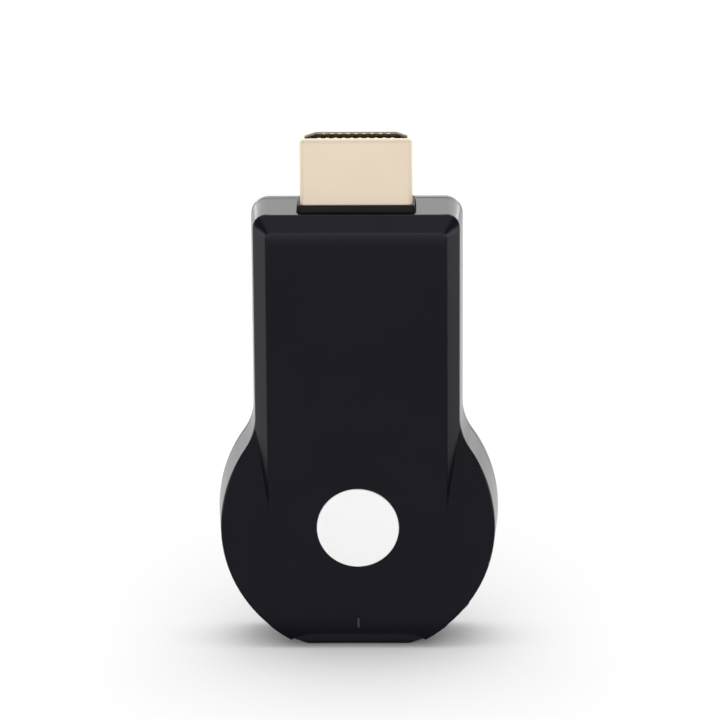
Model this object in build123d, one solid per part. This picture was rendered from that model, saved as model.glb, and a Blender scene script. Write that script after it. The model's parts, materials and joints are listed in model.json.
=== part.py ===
from build123d import *
import os
from math import atan, cos, degrees, radians, sin, sqrt, tan

# Wireless display dongle, standing on its flat foot with the video plug upwards.
# Millimetres. X is to the right seen from the front, the front face looks along -Y, and Z is up.
# The origin is the middle of the flat foot.

# Housing outline, at the parting plane where it is widest
thickness = 10.0
housing_height = 56.8
body_width = 26.4
disc_radius = 17.7
foot_width = 14.7           # flat cut across the bottom of the disc
neck_radius = 6.5
top_corner_radius = 2.2
foot_corner_radius = 0.6

# Shape of the front face
flare = 0.5                 # how far the front edge lies inside the parting edge, all round
bevel = 1.62                # 45 degree bevel round the raised panel
panel_corner_radius = 0.7
panel_edge_round = 0.5      # softens the ridge between the panel's face and its bevels
panel_side_round = 0.35     # softens the outer edge of the bevels
disc_edge_round = 0.3       # softens the outer edge of the disc and its shoulders
wing_start = 1.8            # above this height over the disc's centre its shoulders fall away
wing_slope = 0.16
wing_blend_radius = 28.0    # rounds the shoulders into the flat of the disc
toe_height = 2.0            # top of the bevelled relief across the foot
toe_depth = 1.4             # how far the relief goes back, at 45 degrees
toe_undercut = 0.4          # how far the foot's front edge leans back under the relief
toe_top_half = 5.2          # half the relief's length along its top
toe_end_height = 0.95       # where the relief's curved ends come down to
toe_end_reach = 1.45        # how far outside the ends of the flat foot that is
toe_shoulder = 0.62         # where the curved ends pass, as a share of their width and height

# Shells
front_wall = 1.3
side_wall = 1.5
foot_wall = 1.5
rear_wall = 1.2
rear_edge = 1.8             # thickness of the rear cover where it shows at the edge
rear_edge_round = 0.8
seam_chamfer = 0.12
least_corner = 0.3
lip_height = 0.7
lip_wall = 0.8
lip_clearance = 0.1
fit_gap = 0.1               # working gap round pieces that pass through a wall
seat_gap = 0.05             # gap round pieces seated in a pocket

# Snap hooks on the rear cover
hook_width = 3.0
hook_reach = 2.6
hook_thickness = 0.8
hook_bead = 0.3
hook_bead_height = 0.6
hook_drops = (12.8, 22.8)   # from the top of the housing down

# White disc on the face and the label recess on the back
badge_radius = 5.17
badge_thickness = 0.5
badge_round = 0.15
label_width = 16.0
label_height = 22.0
label_depth = 0.15
label_corner_radius = 1.5
label_drop = 7.8            # from the top of the housing down to the label

# Circuit board
board_thickness = 1.0
board_clearance = 0.35
board_foot_gap = 0.3
plug_to_board = 0.2

# Video plug, type A
plug_width = 13.9
plug_thickness = 4.45
plug_back_width = 10.6
plug_slope_start = 2.2      # from the wide side to where the sides start to slope in
plug_corner_radius = 0.7
plug_exposed = 8.9
plug_inner_length = 8.0
plug_wall = 0.3
plug_lip_round = 0.6        # the tip is drawn inwards all round
plug_slot_width = 11.0
plug_slot_height = 1.9
plug_slot_depth = 7.6
insulator_recess = 0.4
contact_pitch = 1.0
contact_width = 0.4
contact_thickness = 0.25
contact_rise = 0.3          # above the insulator's end, so that the tips show in the mouth
contact_tail = 2.0
front_contact_count = 10
back_contact_count = 9
leg_length = 2.5
leg_width = 1.4
leg_slot_gap = 0.2
collar_rise = 0.57
collar_wall = 0.3
collar_corner_radius = 0.6
collar_round = 0.15
collar_flange = 0.8         # how far the flange reaches at the narrow ends
collar_flange_side = 0.4    # and at the wide sides
collar_flange_height = 1.0

# Power socket, micro USB
socket_width = 7.5
socket_height = 2.5
socket_depth = 5.2
socket_wall = 0.25
socket_mouth_gap = 0.25     # from the foot up to the socket's mouth
socket_slope = 0.9
socket_hole_gap = 0.25
tongue_width = 4.8
tongue_thickness = 0.6
tongue_gap = 0.42           # from the shell's wide side to the tongue
tongue_recess = 0.75
tongue_base = 1.2
socket_contact_pitch = 0.65
socket_contact_width = 0.3
socket_contact_thickness = 0.12
socket_contact_recess = 1.25
socket_contact_count = 5

# Mode button and its switch, on the rim of the disc
button_angle = 45.0         # below the horizontal, on the right
button_length = 4.6
button_height = 2.0
button_end_radius = 0.9
button_proud = 0.35
button_travel = 0.3
button_round = 0.2
button_board_gap = 0.2      # from the board's face to the button
flange_length = 6.4
flange_thickness = 0.7
flange_wall_gap = 0.15
stem_length = 1.8
stem_height = 1.0
stem_gap = 0.05             # from the button to the switch's stem
stem_reach = 0.4            # how far the stem stands out of the switch
stem_inside = 0.9
switch_length = 4.6
switch_depth = 3.0
switch_cover = 0.2

# Indicator
guide_width = 0.35
guide_height = 1.3
guide_rise = 0.75           # from the relief across the foot up to the guide
guide_recess = 0.12         # from the face in to the guide
guide_foot_width = 1.6
guide_foot_height = 2.4
guide_foot_thickness = 0.6
guide_rod_width = 0.8
led_width = 1.6
led_height = 0.8
led_thickness = 0.6

# Screws
side_screw_inset = 5.3      # from the disc's rim
side_screw_angle = 20.8     # above the horizontal through the disc's centre
top_screw_drop = 18.3       # from the board's top edge
screw_radius = 0.8
screw_length = 3.6
screw_head_radius = 1.6
screw_head_height = 1.0
screw_head_round = 0.4
screw_recess_width = 0.4
screw_recess_length = 1.8
screw_recess_depth = 0.5
screw_end_gap = 0.2
boss_radius = 1.9
screw_hole_gap = 0.05
board_hole_gap = 0.25

# Chips and the heat path, side by side on the front of the board
chip_thickness = 1.1
chip_gap = 0.6
chips_drop = 9.3            # from the board's top edge to their middle
processor_size = 11.0
memory_width = 7.0
memory_length = 11.5
pad_margin = 0.6
pad_thickness = 0.5
spreader_gap = 0.2          # from the spreader to the front cover
spreader_margin = 0.5

# Radio module and antenna, on the front of the board in the disc
radio_width = 12.5
radio_length = 12.0
radio_rise = 0.9            # from the disc's centre
radio_board_thickness = 0.7
radio_can_margin = 0.8
radio_can_height = 1.6
radio_can_wall = 0.2
radio_chip_size = 6.0
radio_chip_height = 0.8
antenna_width = 7.0
antenna_height = 2.0
antenna_thickness = 1.0
antenna_angle = 215.0

# Other components: sizes are width, thickness and height, places are X and Z.
# "over" is measured up from the disc's centre, "under" down from the board's top edge,
# and "off_screw" from the right-hand screw
inductor_size = (4.0, 1.8, 4.0)
inductor_round = 0.5
inductors_over = ((-6.8, 9.9), (6.8, 9.9))
tantalum_size = (3.5, 1.8, 2.8)
tantalums_over = ((-3.0, -7.9), (3.0, -7.9))
flash_size = (5.2, 1.4, 5.2)
flash_under = (-5.0, 10.6)
crystal_size = (3.2, 0.9, 2.5)
crystals_under = ((-3.0, 24.1), (3.0, 24.1))
regulator_size = (2.9, 1.1, 1.6)
regulators_off_screw = ((-3.6, 6.5), (-3.6, 2.5))
passive_size = (1.0, 0.5, 0.5)
passive_columns = 6
passive_pitch = 1.7
passive_rows_under = (3.6, 5.4)
passive_row_over = -4.6

# Allowances for the modelling itself
sink = 0.1                  # how far joined solids run into each other
over = 1.0                  # how far a cutting tool runs past a face
far = 100.0                 # longer than anything here

# Worked out from the sizes above
front_y = -thickness / 2
back_y = thickness / 2
parting_y = back_y - rear_edge
draft = atan(flare / (parting_y - front_y))
cavity_front_y = front_y + front_wall
cavity_back_y = back_y - rear_wall
disc_centre_z = sqrt(disc_radius ** 2 - (foot_width / 2) ** 2)
wing_start_z = disc_centre_z + wing_start
panel_half = body_width / 2 - flare - bevel
panel_top = housing_height - flare - bevel
board_front_y = -board_thickness / 2
board_back_y = board_thickness / 2
plug_tip_z = housing_height + plug_exposed
plug_end_z = housing_height - plug_inner_length
board_top_z = plug_end_z - plug_to_board
board_foot_z = foot_wall + board_foot_gap
UP = (Align.CENTER, Align.CENTER, Align.MIN)


def save(node, shape):
    """Writes one node as parts/NODE.step."""
    shape.label = node
    export_step(shape, f"parts/{node}.step")


def box(x, y, z):
    """A block between two values on each axis."""
    size = Box(abs(x[1] - x[0]), abs(y[1] - y[0]), abs(z[1] - z[0]))
    return Pos((x[0] + x[1]) / 2, (y[0] + y[1]) / 2, (z[0] + z[1]) / 2) * size


def below(z):
    """Everything lower than z, to cut a foot flat."""
    return box((-far, far), (-far, far), (-far, z))


def span(side, inner, outer):
    """The values from inner to outer, on one side of zero."""
    return tuple(sorted((side * inner, side * outer)))


def round_box(x, y, z, radius, axis):
    """A block whose four edges along one axis are rounded."""
    return fillet(box(x, y, z).edges().filter_by(axis), radius)


def rod(x, y, z, radius, length):
    """A round bar that starts at a depth y and runs back, or to the front if its length is negative."""
    bar = Cylinder(radius, abs(length), align=UP)
    return Pos(x, y, z) * Rot(-90 if length > 0 else 90, 0, 0) * bar


def on_board(size, x, z, side):
    """A component seated on the front (-1) or the back (1) of the board."""
    return Pos(x, side * (board_thickness + size[1]) / 2, z) * Box(*size)


def group(solids):
    """Several separate solids as one node."""
    return Compound(children=list(solids))


def draft_inset(y):
    """How far the drafted wall lies inside the parting edge at depth y."""
    return (parting_y - y) * tan(draft)


def outline(inset):
    """Outline of the housing, drawn in X and Z, moved inwards by inset. The foot is cut flat later."""
    half = body_width / 2 - inset
    top = housing_height - inset
    radius = disc_radius - inset
    neck = neck_radius + inset
    corner = max(top_corner_radius - inset, least_corner)
    neck_z = disc_centre_z + sqrt((radius + neck) ** 2 - (half + neck) ** 2)
    share = radius / (radius + neck)
    join = ((half + neck) * share, disc_centre_z + (neck_z - disc_centre_z) * share)
    turn = atan((neck_z - disc_centre_z) / (half + neck))
    neck_mid = (half + neck - neck * cos(turn / 2), neck_z - neck * sin(turn / 2))
    bend = corner * sqrt(0.5)
    corner_mid = (half - corner + bend, top - corner + bend)
    with BuildSketch(Plane.XZ) as sketch:
        with BuildLine():
            Line((-half + corner, top), (half - corner, top))
            ThreePointArc((half - corner, top), corner_mid, (half, top - corner))
            Line((half, top - corner), (half, neck_z))
            ThreePointArc((half, neck_z), neck_mid, join)
            ThreePointArc(join, (0, disc_centre_z - radius), (-join[0], join[1]))
            ThreePointArc((-join[0], join[1]), (-neck_mid[0], neck_mid[1]), (-half, neck_z))
            Line((-half, neck_z), (-half, top - corner))
            ThreePointArc((-half, top - corner), (-corner_mid[0], corner_mid[1]), (-half + corner, top))
        make_face()
    return sketch.sketch


def rear_block(inset, floor_z, depth):
    """The outline from the parting plane back by depth, or to the front, with a flat foot."""
    return Pos(0, parting_y, 0) * extrude(outline(inset), amount=-depth) - below(floor_z)


def raised_panel(inset):
    """The raised panel with its 45 degree sides, as the space behind its front face.

    Only the outer form has a soft ridge. The cavity's ridge is left sharp."""
    shrink = inset * (sqrt(2) - 1)
    rise = bevel + 2 * flare
    face_y = front_y + inset
    half = panel_half - shrink + rise
    top = panel_top - shrink + rise
    with BuildSketch(Plane.XZ) as sketch:
        with Locations((0, (top - far) / 2)):
            RectangleRounded(2 * half, top + far, panel_corner_radius + rise)
    sides = Pos(0, face_y + rise, 0) * extrude(sketch.sketch, amount=rise, taper=45)
    if not inset:
        sides = fillet(sides.faces().sort_by(Axis.Y)[0].edges(), panel_edge_round)
    return sides + box((-half, half), (face_y + rise, far), (-far, top))


def shoulders(inset):
    """The space behind the face of the disc, whose shoulders bend and slope back above wing_start_z."""
    face_y = front_y + inset
    turn = atan(wing_slope)
    start_z = wing_start_z - wing_blend_radius * tan(turn / 2)
    bend = [
        (face_y + wing_blend_radius * (1 - cos(a)), start_z + wing_blend_radius * sin(a))
        for a in (0, turn / 2, turn)
    ]
    with BuildSketch(Plane.YZ) as sketch:
        with BuildLine():
            ThreePointArc(*bend)
            Polyline(
                bend[2],
                (face_y + (far - wing_start_z) * wing_slope, far),
                (far, far),
                (far, -far),
                (face_y, -far),
                bend[0],
            )
        make_face()
    return extrude(sketch.sketch, amount=far, both=True)


def drafted_block(inset):
    """The outline, moved inwards by inset, drawn from the parting plane to the front with draft."""
    block = extrude(outline(inset), amount=parting_y - front_y, taper=degrees(draft))
    return Pos(0, parting_y, 0) * block


def front_cavity():
    """The space inside the front cover, without a floor."""
    return drafted_block(side_wall) & raised_panel(front_wall) + shoulders(front_wall)


def soften(shape, radius, low_z):
    """Rounds the edges above a height where the wall round the front cover meets its front."""
    walls = [
        f for f in shape.faces()
        if f.bounding_box().max.Y > parting_y - sink and f.bounding_box().size.Y > rear_edge / 2
    ]
    edges = [
        e for wall in walls for e in wall.edges()
        if (e @ 0.5).Z > low_z
        and (e @ 0.5).Y < parting_y - over / 2
        and sum(any(e.is_same(other) for other in near.edges()) for near in walls) == 1
    ]
    return fillet(edges, radius)


def front_form():
    """The front cover's outer form, still without its foot: the raised panel joined to the shoulders."""
    block = drafted_block(0)
    panel = soften(block & raised_panel(0), panel_side_round, disc_centre_z + disc_radius / 2)
    return panel + soften(block & shoulders(0), disc_edge_round, -far)


def round_foot(shape):
    """Rounds the two corners where the flat foot meets the disc."""
    corners = [
        e for e in shape.edges()
        if abs(e.center().Z) < foot_corner_radius / 2
        and abs(e.center().X) > foot_width / 4
        and e.length > rear_edge / 2
        and abs(e.tangent_at(0.5).Y) > cos(radians(20))
    ]
    return fillet(corners, foot_corner_radius)


# Places that several pieces share
button_low_y = board_front_y - button_board_gap - button_height
button_high_y = board_front_y - button_board_gap
button_mid_y = (button_low_y + button_high_y) / 2
button_frame = Pos(0, 0, disc_centre_z) * Rot(0, button_angle, 0)
rim_at_button = disc_radius - draft_inset(button_mid_y)
cavity_at_button = disc_radius - side_wall - draft_inset(button_low_y)
flange_outer = sqrt(cavity_at_button ** 2 - (flange_length / 2) ** 2) - flange_wall_gap
flange_inner = flange_outer - flange_thickness
stem_tip = flange_inner - stem_gap
switch_face = stem_tip - stem_reach
cap_radius = min(button_end_radius, button_height / 2 - fit_gap)
guide_low_z = toe_height + guide_rise
guide_high_z = guide_low_z + guide_height
socket_low_y = board_back_y
socket_high_y = socket_low_y + socket_height
socket_top_z = socket_mouth_gap + socket_depth
tongue_low_y = socket_low_y + socket_wall + tongue_gap
tongue_high_y = tongue_low_y + tongue_thickness
collar_x = plug_width / 2 + collar_wall
collar_y = plug_thickness / 2 + collar_wall
collar_under_z = housing_height - side_wall - flare - fit_gap
hook_deep_y = parting_y - hook_reach
hook_outer = body_width / 2 - side_wall - lip_clearance - draft_inset(hook_deep_y)
hook_spots = [(side, housing_height - drop) for side in (-1, 1) for drop in hook_drops]
screw_reach = disc_radius - side_screw_inset
screw_x = screw_reach * cos(radians(side_screw_angle))
screw_z = disc_centre_z + screw_reach * sin(radians(side_screw_angle))
screw_spots = [(-screw_x, screw_z), (screw_x, screw_z), (0, board_top_z - top_screw_drop)]
chips_z = board_top_z - chips_drop
chips_half = (processor_size + chip_gap + memory_width) / 2
chips_face_y = board_front_y - chip_thickness
radio_z = disc_centre_z + radio_rise
radio_face_y = board_front_y - radio_board_thickness
label_z = housing_height - label_drop - label_height / 2


def button_slot(gap):
    """The button's section as a bar through the rim, wider by gap all round."""
    return round_box(
        (cavity_at_button - side_wall, disc_radius + side_wall),
        (button_low_y - gap, button_high_y + gap),
        (-button_length / 2 - gap, button_length / 2 + gap),
        cap_radius + gap,
        Axis.X,
    )


def toe_relief():
    """The bevelled relief across the front of the foot, with curved ends and a lip that leans back."""
    deep_y = front_y + toe_depth
    low_z = toe_height - toe_depth
    end_half = foot_width / 2 + toe_end_reach
    turn_half = toe_top_half + (end_half - toe_top_half) * toe_shoulder
    turn_z = toe_end_height + (toe_height - toe_end_height) * toe_shoulder
    with BuildSketch(Plane.YZ) as sketch:
        with BuildLine():
            Polyline(
                (front_y - over, toe_height + over),
                (deep_y, low_z),
                (deep_y + toe_undercut * (low_z + over) / low_z, -over),
                (front_y - over, -over),
                close=True,
            )
        make_face()
    with BuildSketch(Plane.XZ) as ends:
        with BuildLine():
            Polyline(
                (-end_half, toe_end_height),
                (-end_half, -over),
                (end_half, -over),
                (end_half, toe_end_height),
            )
            ThreePointArc((end_half, toe_end_height), (turn_half, turn_z), (toe_top_half, toe_height))
            Polyline(
                (toe_top_half, toe_height),
                (toe_top_half, toe_height + far),
                (-toe_top_half, toe_height + far),
                (-toe_top_half, toe_height),
            )
            ThreePointArc((-toe_top_half, toe_height), (-turn_half, turn_z), (-end_half, toe_end_height))
        make_face()
    return extrude(sketch.sketch, amount=far, both=True) & extrude(ends.sketch, amount=far, both=True)


def screw_boss(x, z):
    """A post from the front wall to the board, which starts half way into the wall."""
    fall = max(z + boss_radius - wing_start_z, 0) * wing_slope if abs(x) > panel_half / 2 else 0
    start_y = cavity_front_y + fall - front_wall / 2
    return rod(x, start_y, z, boss_radius, board_front_y - start_y)


def front_cover():
    """Front shell: skin, screw bosses, and the openings for plug, socket, button, guide and badge."""
    skin = round_foot(front_form() - below(0) - toe_relief())
    rim = skin.faces().sort_by(Axis.Y)[-1]
    skin = chamfer([e for e in rim.edges() if e.length > foot_corner_radius], seam_chamfer)
    cover = skin - (front_cavity() - below(foot_wall))
    bore_length = screw_length - board_thickness + screw_end_gap
    for x, z in screw_spots:
        cover += screw_boss(x, z)
        cover -= rod(x, board_front_y, z, screw_radius + screw_hole_gap, -bore_length)
    cover -= box(
        (-collar_x - fit_gap, collar_x + fit_gap),
        (-collar_y - fit_gap, collar_y + fit_gap),
        (collar_under_z - collar_flange_height, far),
    )
    half = socket_width / 2 + socket_hole_gap
    cover -= box((-half, half), (socket_low_y - socket_hole_gap, far), (-over, foot_wall + over))
    cover -= button_frame * button_slot(fit_gap)
    cover -= box(
        (-guide_width / 2 - seat_gap, guide_width / 2 + seat_gap),
        (front_y - over, cavity_front_y + over),
        (guide_low_z - seat_gap, guide_high_z + seat_gap),
    )
    cover -= rod(0, front_y - over, disc_centre_z, badge_radius + seat_gap, over + badge_thickness)
    for side, z in hook_spots:
        cover -= box(
            span(side, hook_outer - over, hook_outer + hook_bead + fit_gap),
            (hook_deep_y - fit_gap, hook_deep_y + hook_bead_height + fit_gap),
            (z - hook_width / 2 - fit_gap, z + hook_width / 2 + fit_gap),
        )
    return cover


def rear_lip():
    """Locating lip inside the front cover's wall, open at the socket and at the plug."""
    inset = side_wall + lip_clearance + draft_inset(parting_y - lip_height)
    floor_z = foot_wall + lip_clearance
    lip = rear_block(inset, floor_z, -lip_height)
    lip -= rear_block(inset + lip_wall, floor_z + lip_wall, -lip_height)
    gap = lip_clearance + fit_gap
    depth = (parting_y - lip_height - over, parting_y)
    half = socket_width / 2 + gap
    lip -= box((-half, half), depth, (0, socket_top_z + gap))
    half = collar_x + collar_flange + gap
    return lip - box((-half, half), depth, (board_top_z, far))


def rear_cover():
    """Rear shell: a shallow lid with a locating lip, four snap hooks and a sill behind the socket."""
    slab = round_foot(rear_block(0, 0, rear_edge))
    slab = fillet(slab.faces().sort_by(Axis.Y)[-1].edges(), rear_edge_round)
    slab = chamfer(slab.faces().sort_by(Axis.Y)[0].edges(), seam_chamfer)
    edge = lip_clearance + lip_wall
    cover = slab - rear_block(side_wall + edge, foot_wall + edge, cavity_back_y - parting_y)
    cover += rear_lip()
    for side, z in hook_spots:
        height = (z - hook_width / 2, z + hook_width / 2)
        arm = span(side, hook_outer - hook_thickness, hook_outer)
        bead = span(side, hook_outer - sink, hook_outer + hook_bead)
        cover += box(arm, (hook_deep_y, cavity_back_y), height)
        cover += box(bead, (hook_deep_y, hook_deep_y + hook_bead_height), height)
    half = socket_width / 2 + socket_hole_gap - fit_gap
    middle_y = (socket_low_y + socket_high_y) / 2
    cover += box((-half, half), (middle_y, parting_y + sink), (0, foot_wall))
    opening = extrude(socket_outline(-socket_hole_gap), amount=socket_top_z + socket_hole_gap + over)
    cover -= Pos(0, 0, -over) * opening
    with BuildSketch(Plane.XZ) as sketch:
        with Locations((0, label_z)):
            RectangleRounded(label_width, label_height, label_corner_radius)
    return cover - Pos(0, back_y - label_depth, 0) * extrude(sketch.sketch, amount=-label_depth - over)


def badge():
    """Plain white disc let into the face."""
    disc = rod(0, front_y, disc_centre_z, badge_radius, badge_thickness)
    return fillet(disc.edges().sort_by(Axis.Y)[0], badge_round)


def board():
    """Circuit board, cut out for the screws, the hooks and the legs of the plug."""
    inset = side_wall + draft_inset(board_front_y) + board_clearance
    plate = Pos(0, board_back_y, 0) * extrude(outline(inset), amount=board_thickness)
    plate -= box((-far, far), (-far, far), (board_top_z, far)) + below(board_foot_z)
    for x, z in screw_spots:
        plate -= rod(x, -over, z, screw_radius + board_hole_gap, over * 2)
    gap = fit_gap * 2
    for side, z in hook_spots:
        plate -= box(
            span(side, hook_outer - hook_thickness - gap, body_width),
            (-over, over),
            (z - hook_width / 2 - gap, z + hook_width / 2 + gap),
        )
    for side in (-1, 1):
        plate -= box(
            span(side, plug_width / 2 - plug_wall - leg_slot_gap, plug_width / 2 + leg_slot_gap),
            (-over, over),
            (plug_end_z - leg_length - leg_slot_gap, board_top_z + over),
        )
    return plate


def plug_outline(inset):
    """Outline of the video plug, wide side to the front, drawn in X and Y and moved inwards by inset."""
    half = plug_width / 2
    back_half = plug_back_width / 2
    front = -plug_thickness / 2
    turn = front + plug_slope_start
    with BuildSketch() as sketch:
        with BuildLine():
            Polyline(
                (-half, front),
                (half, front),
                (half, turn),
                (back_half, -front),
                (-back_half, -front),
                (-half, turn),
                close=True,
            )
        make_face()
        fillet(sketch.vertices(), plug_corner_radius)
    return offset(sketch.sketch, -inset) if inset else sketch.sketch


def plug_block(inset, low_z, high_z):
    """The plug's outline as a solid between two heights."""
    return Pos(0, 0, low_z) * extrude(plug_outline(inset), amount=high_z - low_z)


def plug_shell():
    """Plated steel shell, drawn in at the tip, with two legs that go through the board."""
    shell = plug_block(0, plug_end_z, plug_tip_z)
    shell = fillet(shell.faces().sort_by(Axis.Z)[-1].edges(), plug_lip_round)
    room = plug_block(plug_wall, plug_end_z - over, plug_tip_z - plug_wall)
    shell -= fillet(room.faces().sort_by(Axis.Z)[-1].edges(), plug_lip_round - plug_wall)
    shell -= plug_block(plug_lip_round, plug_tip_z - plug_wall - over, plug_tip_z + over)
    leg_low_y = -plug_thickness / 2 + plug_corner_radius
    for side in (-1, 1):
        shell += box(
            span(side, plug_width / 2 - plug_wall, plug_width / 2),
            (leg_low_y, leg_low_y + leg_width),
            (plug_end_z - leg_length, plug_end_z + sink),
        )
    return shell


def contact_spots(row):
    """X of each plug contact in the front (-1) or the back (1) row."""
    count = front_contact_count if row < 0 else back_contact_count
    return [(i - (count - 1) / 2) * contact_pitch for i in range(count)]


def plug_insulator():
    """Black moulding inside the shell, with the slot and a groove for each contact."""
    top = plug_tip_z - insulator_recess
    near = plug_slot_height / 2
    body = plug_block(plug_wall + seat_gap, plug_end_z, top)
    body = fillet(body.faces().sort_by(Axis.Z)[-1].edges(), plug_lip_round - plug_wall)
    half = plug_slot_width / 2
    body -= box((-half, half), (-near, near), (top - plug_slot_depth, top + over))
    half = contact_width / 2 + seat_gap
    for row in (-1, 1):
        for x in contact_spots(row):
            groove = span(row, near - sink, near + contact_thickness)
            body -= box((x - half, x + half), groove, (plug_end_z - over, top + over))
    return body


def plug_contacts(row):
    """The contacts of one row, straight in their grooves, with tails that step in to the board."""
    near = plug_slot_height / 2
    deep = near + contact_thickness
    foot = board_back_y + contact_thickness
    tail_z = board_top_z - contact_tail
    profile = [
        (near, plug_tip_z - insulator_recess + contact_rise),
        (deep, plug_tip_z - insulator_recess + contact_rise),
        (deep, plug_end_z - plug_to_board / 2),
        (foot, board_top_z - contact_thickness),
        (foot, tail_z),
        (board_back_y, tail_z),
        (board_back_y, board_top_z),
        (near, plug_end_z),
    ]
    with BuildSketch(Plane.YZ) as sketch:
        with BuildLine():
            Polyline(*[(row * y, z) for y, z in profile], close=True)
        make_face()
    one = extrude(sketch.sketch, amount=contact_width / 2, both=True)
    return group(Pos(x, 0, 0) * one for x in contact_spots(row))


def plug_collar():
    """Black collar round the foot of the plug, held under the top wall by a flange."""
    top_z = housing_height + collar_rise
    neck = round_box(
        (-collar_x, collar_x), (-collar_y, collar_y), (collar_under_z - sink, top_z),
        collar_corner_radius, Axis.Z)
    neck = fillet(neck.faces().sort_by(Axis.Z)[-1].edges(), collar_round)
    flange = round_box(
        (-collar_x - collar_flange, collar_x + collar_flange),
        (-collar_y - collar_flange_side, collar_y + collar_flange_side),
        (collar_under_z - collar_flange_height, collar_under_z),
        collar_corner_radius, Axis.Z)
    return neck + flange - plug_block(-seat_gap, collar_under_z - collar_flange_height - over, top_z + over)


def socket_outline(inset):
    """Outline of the power socket, wide side on the board, drawn in X and Y and moved inwards by inset."""
    half = socket_width / 2
    middle = (socket_low_y + socket_high_y) / 2
    with BuildSketch() as sketch:
        with BuildLine():
            Polyline(
                (-half, socket_low_y),
                (half, socket_low_y),
                (half, middle),
                (half - socket_slope, socket_high_y),
                (-half + socket_slope, socket_high_y),
                (-half, middle),
                close=True,
            )
        make_face()
    return offset(sketch.sketch, -inset, kind=Kind.INTERSECTION) if inset else sketch.sketch


def power_shell():
    """Steel shell of the power socket, closed at its inner end."""
    outer = Pos(0, 0, socket_mouth_gap) * extrude(socket_outline(0), amount=socket_depth)
    room = extrude(socket_outline(socket_wall), amount=over + socket_depth - socket_wall)
    return outer - Pos(0, 0, socket_mouth_gap - over) * room


def power_tongue():
    """Black insulator of the power socket: a base that fills its inner end, and the tongue."""
    top = socket_top_z - socket_wall
    base = extrude(socket_outline(socket_wall + seat_gap), amount=tongue_base)
    height = (socket_mouth_gap + tongue_recess, top)
    tongue = box((-tongue_width / 2, tongue_width / 2), (tongue_low_y, tongue_high_y), height)
    return Pos(0, 0, top - tongue_base) * base + tongue


def power_contacts():
    """Five contacts on the back of the tongue."""
    middle = (socket_contact_count - 1) / 2
    strip = box(
        (-socket_contact_width / 2, socket_contact_width / 2),
        (tongue_high_y, tongue_high_y + socket_contact_thickness),
        (socket_mouth_gap + socket_contact_recess, socket_top_z - socket_wall - tongue_base),
    )
    return group(Pos((i - middle) * socket_contact_pitch, 0, 0) * strip for i in range(socket_contact_count))


def mode_button():
    """Button cap with the flange that keeps it in the case."""
    depth = (button_low_y, button_high_y)
    cap = round_box(
        (flange_inner, rim_at_button + button_proud), depth, (-button_length / 2, button_length / 2),
        cap_radius, Axis.X)
    cap = fillet(cap.faces().sort_by(Axis.X)[-1].edges(), button_round)
    flange = box((flange_inner, flange_outer), depth, (-flange_length / 2, flange_length / 2))
    return button_frame * (cap + flange)


def stem_block(reach_in, gap):
    """The stem's block, or with a gap its bore, from inside the switch to the stem's tip."""
    return box(
        (switch_face - reach_in, stem_tip),
        (button_mid_y - stem_height / 2 - gap, button_mid_y + stem_height / 2 + gap),
        (-stem_length / 2 - gap, stem_length / 2 + gap),
    )


def switch_slice(from_depth, to_depth):
    """A slice of the switch's block, between two depths behind its face."""
    return box(
        (switch_face - to_depth, switch_face - from_depth),
        (button_low_y, board_front_y),
        (-switch_length / 2, switch_length / 2),
    )


def switch_body():
    """Side-push switch soldered to the front of the board, with room for the stem's travel."""
    room = stem_block(stem_inside + button_travel * 2, seat_gap)
    return button_frame * (switch_slice(switch_cover, switch_depth) - room)


def switch_plate():
    """Steel cover over the switch's face."""
    return button_frame * (switch_slice(0, switch_cover) - stem_block(stem_inside, seat_gap))


def switch_stem():
    """Stem of the switch, pushed by the button."""
    return button_frame * stem_block(stem_inside, 0)


def light_guide():
    """Clear guide: a blade in the front wall, a foot behind it and a rod to the indicator."""
    height = (guide_low_z, guide_high_z)
    foot_low = guide_low_z - fit_gap
    depth = (front_y + guide_recess, cavity_front_y + sink)
    blade = box((-guide_width / 2, guide_width / 2), depth, height)
    foot = box(
        (-guide_foot_width / 2, guide_foot_width / 2),
        (cavity_front_y, cavity_front_y + guide_foot_thickness),
        (foot_low, foot_low + guide_foot_height),
    )
    led_face = board_front_y - led_thickness
    shaft = box((-guide_rod_width / 2, guide_rod_width / 2), (cavity_front_y, led_face - seat_gap), height)
    return blade + foot + shaft


def indicator():
    """Indicator lamp on the board."""
    return on_board((led_width, led_thickness, led_height), 0, (guide_low_z + guide_high_z) / 2, -1)


def screw(x, z):
    """Pan-head self-tapping screw with a cross recess, from the back through the board into its boss."""
    head = rod(x, board_back_y, z, screw_head_radius, screw_head_height)
    head = fillet(head.edges().sort_by(Axis.Y)[-1], screw_head_round)
    top = board_back_y + screw_head_height
    arms = (screw_recess_width, screw_recess_length)
    for wide, high in (arms, arms[::-1]):
        head -= box(
            (x - wide / 2, x + wide / 2),
            (top - screw_recess_depth, top + over),
            (z - high / 2, z + high / 2),
        )
    return head + rod(x, board_back_y + sink, z, screw_radius, -screw_length - sink)


def processor():
    """Main processor, on the left."""
    size = (processor_size, chip_thickness, processor_size)
    return on_board(size, -chips_half + processor_size / 2, chips_z, -1)


def memory():
    """Memory chip, on the right of the processor."""
    size = (memory_width, chip_thickness, memory_length)
    return on_board(size, chips_half - memory_width / 2, chips_z, -1)


def chip_cover(margin, low_y, high_y):
    """A block over both chips, moved inwards from their edges by margin."""
    half = max(processor_size, memory_length) / 2 - margin
    return box(
        (-chips_half + margin, chips_half - margin),
        (low_y, high_y),
        (chips_z - half, chips_z + half),
    )


def thermal_pad():
    """Silicone pad over both chips."""
    return chip_cover(pad_margin, chips_face_y - pad_thickness, chips_face_y)


def heat_spreader():
    """Aluminium plate between the pad and the front cover."""
    plate = chip_cover(-spreader_margin, cavity_front_y + spreader_gap, chips_face_y - pad_thickness)
    return fillet(plate.edges().filter_by(Axis.Y), spreader_margin)


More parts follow.
